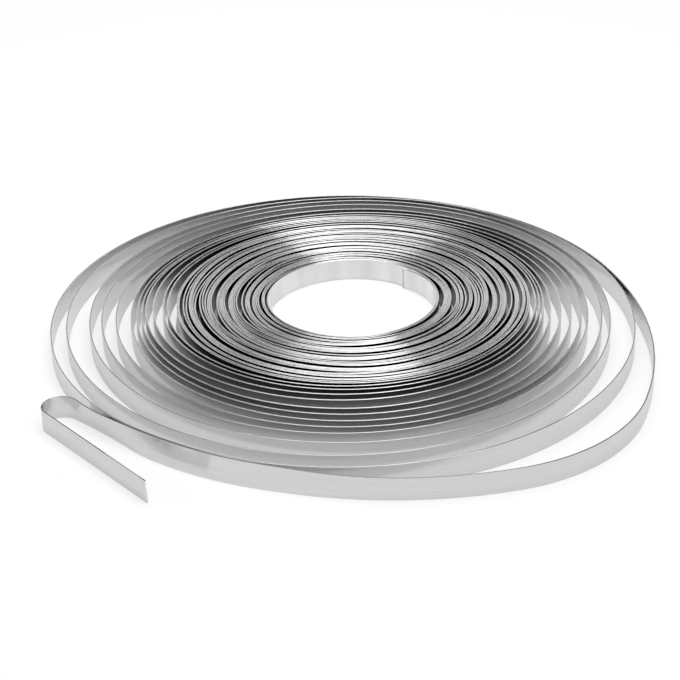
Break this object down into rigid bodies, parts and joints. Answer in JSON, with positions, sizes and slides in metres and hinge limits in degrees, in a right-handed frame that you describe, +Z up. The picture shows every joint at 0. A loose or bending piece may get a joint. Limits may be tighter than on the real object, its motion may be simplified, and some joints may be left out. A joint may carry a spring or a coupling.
{
  "type": "steel coil",
  "caption": "Flat coil of steel strip standing on edge, with a tight winding around an open bore, sprung loose outer turns and a free end folded back.",
  "frame": {"origin": "on the bore axis, at the floor the coil lies on", "axes": "+Z up along the bore axis, +X to the right and +Y away from the viewer as pictured"},
  "size_m": [0.3314, 0.3367, 0.0127],
  "materials": {
    "steel": "bright rolled strip with slit edges"
  },
  "bodies": {
    "root": {"steel_strip": "steel"}
  },
  "joints": []
}
